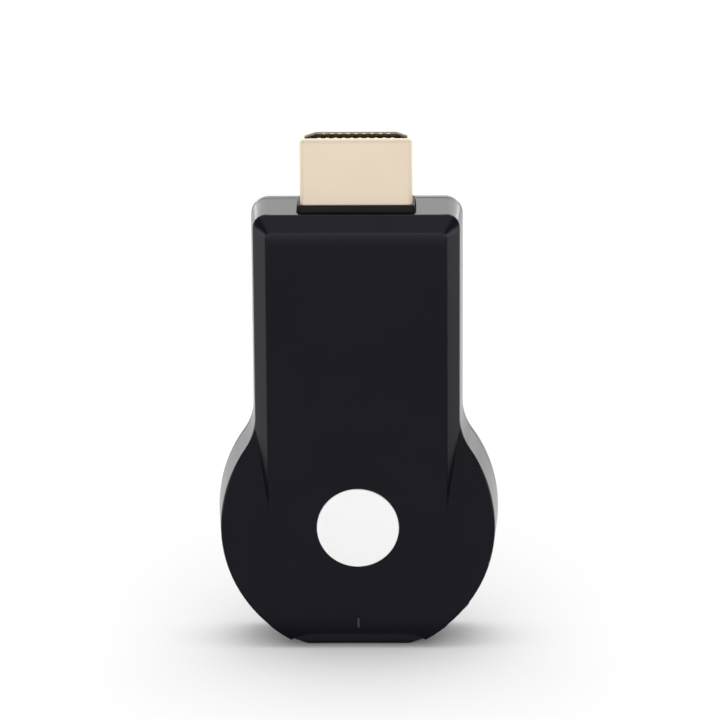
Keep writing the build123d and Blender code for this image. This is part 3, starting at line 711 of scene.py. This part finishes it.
def legged_chip(name, low, high, reach, left, right):
    """A moulded body between two corners, with legs at the given heights on each side."""
    low, high = Vector(low), Vector(high)
    middle = (low + high) / 2
    body = block("body", low, high, "chip_black")
    bevel_edges(body, lambda at, run: abs(run.y) < 0.1, 0.18, 1)
    legs = [bent_leg(-1, low.x + 0.02, middle.y, z, reach) for z in left]
    legs += [bent_leg(1, high.x - 0.02, middle.y, z, reach) for z in right]
    return joined([body] + legs, name)


# %% [markdown]
# ## Flash chip
#
# The chip that keeps the dongle's software has four legs on each side, at the usual pitch. Its
# height is the middle of the four, so the legs are counted out from there to both sides.

# %% Model the flash chip
FLASH_Z = 38.0
LEG_PITCH = 1.27

rows = [FLASH_Z + LEG_PITCH * (i - 1.5) for i in range(4)]
flash = legged_chip("flash_memory", (-6.95, 0.62, 35.45), (-3.05, 1.9, 40.55), 0.66, rows, rows)
present(flash, "flash_chip")

# %% [markdown]
# ## Voltage regulators
#
# Two small regulators stand one above the other. Each has two legs on its left and three on its
# right, which is how its makers tell its sides apart. The lower one is modelled with the same
# helper as the flash chip, so that their legs match, and the upper one is a copy.

# %% Model the voltage regulators
REGULATOR_STEP = 4.0

low, high = corners("voltage_regulators")
middle_x = (low.x + high.x) / 2
bottom, centre, top = (low.z + rise for rise in (0.25, 0.8, 1.35))
regulator = legged_chip(
    "regulator_pair", (middle_x - 0.85, 0.58, low.z), (middle_x + 0.85, 1.6, low.z + 1.6), 0.61,
    [bottom, top], [bottom, centre, top])
upper = copied(regulator, (0, 0, REGULATOR_STEP))
present(joined([regulator, upper], "regulator_pair"), "voltage_regulators")

# %% [markdown]
# ## Crystals
#
# A crystal is a small ceramic tray with a metal lid welded on. The lid could be drawn out of the
# tray in one piece, but it is another material, so it is a block of its own. It is inset from the
# tray's edge, and its own edge is rolled over, so a bevel of a few steps rounds it.

# %% Model the crystals
PAIR_STEP = 6.0     # from the left one of a pair to the right one

low, high = corners("crystals")
tray = block("tray", low, (low.x + 3.2, low.y + 0.5, high.z), "antenna_ceramic")
bevel_edges(tray, lambda at, run: abs(run.y) > 0.9, 0.25, 1)
seat = (low.x + 0.2, low.y + 0.5, low.z + 0.2)
lid = block("lid", seat, (low.x + 3.0, high.y, high.z - 0.2), "tinned_steel")
bevel_edges(lid, lambda at, run: abs(run.y) > 0.9, 0.35, 3)
bevel_edges(lid, lambda at, run: at.y > high.y - 0.01, 0.15, 3)
crystal = joined([lid, tray], "crystal_pair")
pair = joined([crystal, copied(crystal, (PAIR_STEP, 0, 0))], "crystal_pair")
present(pair, "crystals")

# %% [markdown]
# ## Tantalum capacitors
#
# Each is an amber block with a black bar at its positive end, and a tinned strap that runs down
# each end and under it. The bar is printed on the real part, so it has no height: a cut across the
# block parts its faces from the rest, and they get the other finish.

# %% Model the tantalum capacitors
STRAP = 0.15        # sheet thickness of a strap


def strap(side, x, low, high):
    """A strap down one end of a capacitor and under it, drawn out of its corner both ways."""
    near, far = sorted((x, x + side * STRAP))
    foot, top = (near, high.y - 0.12, low.z + 0.3), (far, high.y, high.z - 0.3)
    piece = block("strap", foot, top, "tinned_steel")
    pick(piece, lambda at, out: out.x * side < -0.9)
    draw_out((-side * 0.8, 0, 0))
    pick(piece, lambda at, out: out.y < -0.9 and abs(at.x - x) < 0.2)
    draw_out((0, -0.8, 0))
    deselect()
    return piece


low, high = corners("tantalum_capacitors")
end = low.x + 3.5
bar_x = end - 0.85
far_corner = (end - STRAP, high.y - 0.12, high.z)
amber = block("amber", (low.x + STRAP, low.y, low.z), far_corner, "tantalum_amber")
bevel_edges(amber, lambda at, run: True, 0.12, 2)
pick(amber, lambda at, out: True)
bpy.ops.mesh.bisect(plane_co=(bar_x * MM, 0, 0), plane_no=(1, 0, 0))
pick(amber, lambda at, out: at.x > bar_x)
amber.data.materials.append(FINISHES["chip_black"].material)
amber.active_material_index = 1
bpy.ops.object.material_slot_assign()
straps = [strap(-1, low.x + STRAP, low, high), strap(1, end - STRAP, low, high)]
capacitor = joined([amber] + straps, "tantalum_pair")
pair = joined([capacitor, copied(capacitor, (PAIR_STEP, 0, 0))], "tantalum_pair")
present(pair, "tantalum_capacitors")

# %% [markdown]
# ## Small capacitors and resistors
#
# Eighteen chips of ceramic, a millimetre long, each with a tinned cap on both ends. One block in
# two colours would be simpler, but the real caps are dipped, so they stand a hair proud of the
# ceramic and their edges are soft. One part is modelled, and the others are copies.

# %% Model the small parts
CAP_LENGTH = 0.24
PROUD = Vector((0.02, 0.02, 0.02))  # how far the caps stand proud of the ceramic
COLUMN_STEP = 1.7
ROW_HEIGHTS = (0.0, 31.7, 33.5)     # above the lowest row

low, high = corners("small_passives")
size = Vector((1.0, high.y - low.y, 0.5))
ceramic = block("ceramic", low + PROUD, low + size - PROUD, "passive_ceramic")
bevel_edges(ceramic, lambda at, run: abs(run.x) > 0.9, 0.05, 2)
ends = []
for start in (0.0, size.x - CAP_LENGTH):
    near, far = low + Vector((start, 0, 0)), low + Vector((start + CAP_LENGTH, size.y, size.z))
    cap = block("end", near, far, "tinned_steel")
    bevel_edges(cap, lambda at, run: True, 0.05, 2)
    ends.append(cap)
one = joined([ceramic] + ends, "small_part_set")
spots = [(COLUMN_STEP * column, height) for column in range(6) for height in ROW_HEIGHTS]
rest = [copied(one, (across, 0, height)) for across, height in spots[1:]]
present(joined([one] + rest, "small_part_set"), "small_passives")

# %% [markdown]
# ## Power inductors
#
# A square ferrite shield has a round well, and in the well stands a reel of ferrite wound with
# copper wire. The wire could be one long spiral, but under the flange only its turns show. So the
# well is cut out with a bar, the reel's flange gets a rounded edge, and the winding is drawn out
# ring by ring, like the screw's thread.

# %% Model the power inductors
WELL_RADIUS, FLANGE_RADIUS = 1.7, 1.45
WIRE_RADIUS, WIRE_ROOT, WIRE_PITCH, TURNS = 1.4, 1.28, 0.14, 5
INDUCTOR_STEP = 13.6                # from the left inductor to the right one

low, high = corners("power_inductors")
middle = Vector((low.x + 2.0, 0, (low.z + high.z) / 2))
shield = block("shield", low, (low.x + 4.0, high.y, high.z), "ferrite_grey")
bevel_edges(shield, lambda at, run: abs(run.y) > 0.9, 0.5, 2)
bevel_edges(shield, lambda at, run: at.y < low.y + 0.01, 0.1, 1)
mouth = middle + Vector((0, low.y, 0))
cut(shield, round_bar("well", mouth, WELL_RADIUS, 2.4, "ferrite_grey", 48))
top = middle + Vector((0, low.y + 0.2, 0))
flange = round_bar("flange", top, FLANGE_RADIUS, 0.3, "ferrite_grey", 48)
bevel_edges(flange, lambda at, run: at.y < low.y + 0.06, 0.1, 3)
foot = middle + Vector((0, high.y - 0.55, 0))
wire = round_bar("wire", foot, WIRE_RADIUS, 0.1, "contact_gold", 40)
pick(wire, lambda at, out: out.y < -0.9)
rings(WIRE_RADIUS, WIRE_ROOT, WIRE_PITCH, TURNS, middle.x, middle.z)
reel = joined([shield, flange, wire], "inductor_pair")
pair = joined([reel, copied(reel, (INDUCTOR_STEP, 0, 0))], "inductor_pair")
present(pair, "power_inductors")

# %% [markdown]
# ## Indicator lamp
#
# A yellow lens stands on a white base with a tinned pad at each end, right behind the light guide.
# It is off, as it is in the photograph, so the lens is only a colour and no light. Each of its
# three materials is a block of its own, and the lens and the pads get soft edges.

# %% Model the indicator lamp
low, high = corners("indicator_led")
lens = block("lens", (-0.5, low.y, low.z), (0.5, high.y - 0.25, high.z), "led_yellow")
bevel_edges(lens, lambda at, run: at.y < low.y + 0.01, 0.12, 3)
base = block("base", (-0.72, high.y - 0.25, low.z), (0.72, high.y, high.z), "stem_white")
pads = []
for x in (-0.8, 0.6):
    pad = block("pad", (x, high.y - 0.2, low.z), (x + 0.2, high.y, high.z), "tinned_steel")
    bevel_edges(pad, lambda at, run: abs(run.z) > 0.9, 0.04, 2)
    pads.append(pad)
present(joined([lens, base] + pads, "indicator_lamp"), "indicator_led")

# %% [markdown]
# ## Thermal pad
#
# A soft grey pad carries the processor's heat into an aluminium plate. The pad is cut from a sheet
# with a blade, so it is plain but for soft edges that bulge a little under pressure. It could be
# pressed in a simulation, but it is so thin that a rounded edge says the same.

# %% Model the pad
low, high = corners("thermal_pad")
pad = block("soft_pad", low, high, "pad_grey")
bevel_edges(pad, lambda at, run: abs(run.y) > 0.9, 0.8, 4)
bevel_edges(pad, lambda at, run: abs(run.y) < 0.1, 0.2, 4)
present(pad, "thermal_pad", 60)

# %% [markdown]
# ## Heat spreader
#
# The aluminium plate in front of the pad has shallow grooves milled along it, which give it more
# surface. The ribs between them could be set up one by one, but a mill takes metal away, and so
# does a cutter: one groove is copied along the plate, all are cut at once, and a Bevel modifier
# then breaks every edge.

# %% Model the plate
GROOVE_PITCH = 2.2
GROOVE_DEPTH = 0.7

low, high = corners("heat_spreader")
plate = block("finned_plate", low, high, "spreader_aluminium")
groove = block(
    "groove", (-8.3, low.y - 1, low.z - 1), (-7.3, low.y + GROOVE_DEPTH, high.z + 1),
    "spreader_aluminium")
grooves = [copied(groove, (GROOVE_PITCH * i, 0, 0)) for i in range(1, 8)]
cut(plate, joined([groove] + grooves, "grooves"))
modify(plate, "BEVEL", width=0.08 * MM, segments=2, limit_method="ANGLE")
present(plate, "heat_spreader")

# %% [markdown]
# ## Chip antenna
#
# A white ceramic bar with a silver pad on each end and a printed line that runs to and fro along
# it. The line could be a pattern in the ceramic's finish. It is drawn out of a small block instead,
# one stroke after another, because it then has a sharp edge. All is modelled lying square at the
# origin, where sizes are easy, and then turned by 55 degrees and moved to its place beside the rim.

# %% Model the antenna
TILT = math.radians(55)

low, high = corners("chip_antenna")
bar = block("bar", (-3.4, -0.46, -0.96), (3.4, 0.5, 0.96), "antenna_ceramic")
bevel_edges(bar, lambda at, run: True, 0.06, 2)
metal = [
    block("end", (x, -0.5, -1.0), (x + 0.5, 0.5, 1.0), "tinned_steel") for x in (-3.5, 3.0)]
for end in metal:
    bevel_edges(end, lambda at, run: True, 0.05, 2)
line = block("line", (-3.0, -0.5, -0.7), (-2.7, -0.4, -0.5), "tinned_steel")
pick(line, lambda at, out: out.x > 0.9)
for turn in range(5):
    rise = 1.2 if turn % 2 == 0 else -1.2
    for stroke in ((0.2, 0, 0), (0.35, 0, rise), (0.2, 0, 0), (0.35, 0, 0)):
        draw_out(stroke)
antenna = joined([bar, line] + metal, "antenna_bar")
take(antenna)
antenna.rotation_euler = (0, TILT, 0)
antenna.location = (low + high) / 2 * MM
bpy.ops.object.transform_apply()
present(antenna, "chip_antenna")

# %% [markdown]
# ## Solder
#
# Every contact tail of the plug lies in a small hill of solder on the board. Molten solder pulls
# itself round, so a ball comes nearest to it: the ball is flattened, the half inside the board is
# cut away, and the rest is copied along both rows. The cut has a tolerance of its own, because the
# usual one, a tenth of a millimetre, would weld points of a piece this small.

# %% Model the solder hills
SOLDER_Z = 47.5
CUT_TOLERANCE = 0.0001 * MM


def solder_hill(name, x, side):
    """Half of a flattened ball of solder at a contact's tail; side is -1 on the board's front."""
    deselect()
    bpy.ops.mesh.primitive_uv_sphere_add(
        segments=16, ring_count=10, radius=0.5 * MM,
        location=Vector((x, side * 0.47, SOLDER_Z)) * MM, scale=(0.8, 0.72, 1.9))
    hill = settle(name, "tinned_steel")
    pick(hill, lambda at, out: True)
    bpy.ops.mesh.bisect(
        plane_co=(0, side * BOARD_FACE * MM, 0), plane_no=(0, -side, 0), clear_outer=True,
        use_fill=True, threshold=CUT_TOLERANCE)
    deselect()
    return hill


hill, mound = solder_hill("solder_hills", -4.5, -1), solder_hill("mound", -4.0, 1)
rows = [copied(hill, (i, 0, 0)) for i in range(1, 10)]
rows += [copied(mound, (i, 0, 0)) for i in range(1, 9)]
present(joined([hill, mound] + rows, "solder_hills"), angle=60)

# %% [markdown]
# ## Seam of the plug
#
# The plug's shell is a strip of steel that is folded round until its ends meet in the middle of the
# narrow side, where two tabs lock them together. The solid already has the right form, so a copy
# of it is merged into whole faces, and a thin cutter draws the seam into the copy. The cutter is
# drawn out upwards from a small block, with a jog to the side for each tab.

# %% Cut the seam into a copy of the shell
def merged_copy(node, name, slot):
    """A copy of a solid, whose loose triangles are merged into whole faces."""
    piece = bpy.data.objects.new(name, frame["nodes"][node].data.copy())
    bpy.context.scene.collection.objects.link(piece)
    piece.data.materials.clear()
    piece.data.materials.append(FINISHES[slot].material)
    take(piece)
    bpy.ops.mesh.customdata_custom_splitnormals_clear()
    bpy.ops.object.mode_set(mode="EDIT")
    bpy.ops.mesh.select_all(action="SELECT")
    bpy.ops.mesh.remove_doubles(threshold=0.001 * MM)
    bpy.ops.mesh.dissolve_limited(angle_limit=math.radians(0.3))
    deselect()
    return piece


SEAM_LOW = 56.0     # in the collar, so that the seam seems to go on down
TAB = 0.55          # how far a tab reaches over

low, high = corners("plug_shell")
shell = merged_copy("plug_shell", "plug_shell_folded", "plug_gold")
seam = block("seam", (-0.04, high.y - 0.1, SEAM_LOW), (0.04, high.y + 0.3, 58.8), "plug_gold")
pick(seam, lambda at, out: out.z > 0.9)
for side in (1, -1):
    for step in ((TAB * side, 0, 0.35), (0, 0, 0.8), (-TAB * side, 0, 0.35), (0, 0, 1.6)):
        draw_out(step)
draw_out((0, 0, 2.0))
cut(shell, seam)
present(shell, "plug_shell")

# %% [markdown]
# ## Shell of the power socket
#
# The socket's shell is folded from tinned steel too, and two windows in its back let the latches
# of the cable's plug spring in. The shell's form is already right, so two blocks cut the windows
# into a merged copy, as the seam was cut.

# %% Cut the latch windows
WINDOW_STEP = 3.3

low, high = corners("power_socket_shell")
shell = merged_copy("power_socket_shell", "power_socket_folded", "tinned_steel")
window = block("window", (-2.1, high.y - 0.3, 1.9), (-1.2, high.y + 0.3, 3.0), "tinned_steel")
cut(shell, joined([window, copied(window, (WINDOW_STEP, 0, 0))], "windows"))
present(shell, "power_socket_shell")

# %% [markdown]
# ## The floor
#
# The dongle stands on a plain pale table top. A wide plane is enough. Its colour stays under white,
# so that the soft shadow round the foot shows, and it has no gloss of its own, so that nothing of
# the studio shows in it.

# %% Lay the floor
deselect()
bpy.ops.mesh.primitive_plane_add(size=6.0, location=(0, 0, 0))
floor = bpy.context.object
floor.name = "floor"
floor_finish = Finish(
    "floor_pale", Base_Color=grey(0.86), Roughness=0.6, Specular_IOR_Level=0.0)
floor.data.materials.append(floor_finish.material)
print("floor in m:", [round(side, 1) for side in floor.dimensions[:2]])

# %% [markdown]
# ## The white surround
#
# Past the floor there is only even white light, as in a photographer's tent. The tent could be
# modelled, but Blender's world is one already. To the camera, to gloss and through clear things
# it is full white. What it sheds on the object is a little less, so that pale surfaces don't clip.

# %% Set up the surround
WHITE = 1.0
TENT_LIGHT = 0.92

world = bpy.data.worlds.new("surround")
bpy.context.scene.world = world
world.use_nodes = True
nodes, links = world.node_tree.nodes, world.node_tree.links
nodes.clear()
path = nodes.new("ShaderNodeLightPath")
seen = path.outputs["Is Camera Ray"]
for ray in ("Is Glossy Ray", "Is Transmission Ray"):
    either = nodes.new("ShaderNodeMath")
    either.operation = "MAXIMUM"
    links.new(seen, either.inputs[0])
    links.new(path.outputs[ray], either.inputs[1])
    seen = either.outputs[0]
strength = nodes.new("ShaderNodeMapRange")
strength.inputs["To Min"].default_value = TENT_LIGHT
strength.inputs["To Max"].default_value = WHITE
links.new(seen, strength.inputs["Value"])
sky = nodes.new("ShaderNodeBackground")
sky.inputs["Color"].default_value = grey(1.0)
links.new(strength.outputs[0], sky.inputs["Strength"])
out = nodes.new("ShaderNodeOutputWorld")
links.new(sky.outputs[0], out.inputs["Surface"])
print("nodes in the surround:", len(nodes))

# %% [markdown]
# ## Soft lamps
#
# Four large lamps do two different jobs, so that each can be set by itself. One in front and one
# above light the object evenly, and are left out of its gloss, where they would be bright patches.
# A wide one behind and a long low strip behind do the reverse: they only show in gloss, and draw
# the pale sheen on the top of the case, its sloping shoulders and its sides.

# %% Set up the lamps
def soft_lamp(name, size, place, aim, radiance):
    """A rectangular soft lamp at a place, which points at another. A radiance of 1 looks white."""
    data = bpy.data.lights.new(name, "AREA")
    data.shape = "RECTANGLE"
    data.size, data.size_y = size
    data.energy = radiance * math.pi * size[0] * size[1]
    lamp = bpy.data.objects.new(name, data)
    bpy.context.scene.collection.objects.link(lamp)
    lamp.location = place
    lamp.rotation_euler = (Vector(place) - Vector(aim)).to_track_quat("Z", "Y").to_euler()
    return lamp


MIDDLE = (0, 0, 0.03)   # the middle of the dongle, which most of the lamps point at
lamp_behind = soft_lamp("lamp_behind", (2.6, 0.9), (0, 1.2, 0.55), MIDDLE, 0.7)
lamp_low = soft_lamp("lamp_low", (2.6, 0.10), (0, 1.1, 0.06), (0, 0, 0.06), 2.4)
lamp_behind.visible_diffuse = lamp_low.visible_diffuse = False
lamp_front = soft_lamp("lamp_front", (0.9, 0.6), (0, -0.9, 0.5), MIDDLE, 0.6)
lamp_above = soft_lamp("lamp_above", (0.6, 0.6), (0, 0.1, 0.9), MIDDLE, 2.2)
lamp_front.visible_glossy = lamp_above.visible_glossy = False
print("lamps:", len(bpy.data.lights))

# %% [markdown]
# ## Dim cards
#
# A glossy black case shows mostly what it mirrors, and in a white studio it would look grey.
# A photographer stands dark cards around such an object, just outside the picture. The cards here
# are flat blocks that only reflections see: one stands close before the face, one lies on the
# floor, and the others hang ahead, above and on each side. The close card ends below the plug, so
# that the plug still mirrors the bright floor over its top.

# %% Set up the dim cards
CARD_COLOUR = (0.90, 0.88, 1.0, 1)


def dim_card(name, low, high, strength):
    """A flat card between two corners, in metres, that only reflections see."""
    finish = Finish(name)
    colours = {"Color": CARD_COLOUR, "Strength": strength}
    glow = finish.node("ShaderNodeEmission", {}, colours)
    finish.links.new(glow.socket, finish.nodes["Material Output"].inputs["Surface"])
    deselect()
    low, high = Vector(low), Vector(high)
    bpy.ops.mesh.primitive_cube_add(size=1, location=(low + high) / 2, scale=high - low)
    bpy.ops.object.transform_apply()
    card = bpy.context.object
    card.name = name
    card.data.materials.append(finish.material)
    card.visible_camera = card.visible_shadow = False
    card.visible_diffuse = card.visible_transmission = False
    print(name, "strength:", strength)


dim_card("card_close", (-0.024, -0.0135, 0.0), (0.024, -0.013, 0.0520), 0.27)
# The card on the floor starts just before the foot. Its dimness is painted shade: the foot's lowest
# edge mirrors it in place of the shadowed floor under the foot.
dim_card("card_near", (-0.30, -0.105, 0.00005), (0.30, -0.0033, 0.0001), 0.10)
dim_card("card_ahead", (-0.60, -0.702, 0.0), (0.60, -0.70, 0.60), 0.5)
dim_card("card_above", (-0.60, -0.70, 0.60), (0.60, 0.10, 0.602), 0.42)
dim_card("card_left", (-0.602, -0.70, 0.16), (-0.60, 0.50, 0.60), 0.10)
dim_card("card_right", (0.60, -0.70, 0.16), (0.602, 0.50, 0.60), 0.10)
bpy.context.scene.view_settings.view_transform = "Standard"
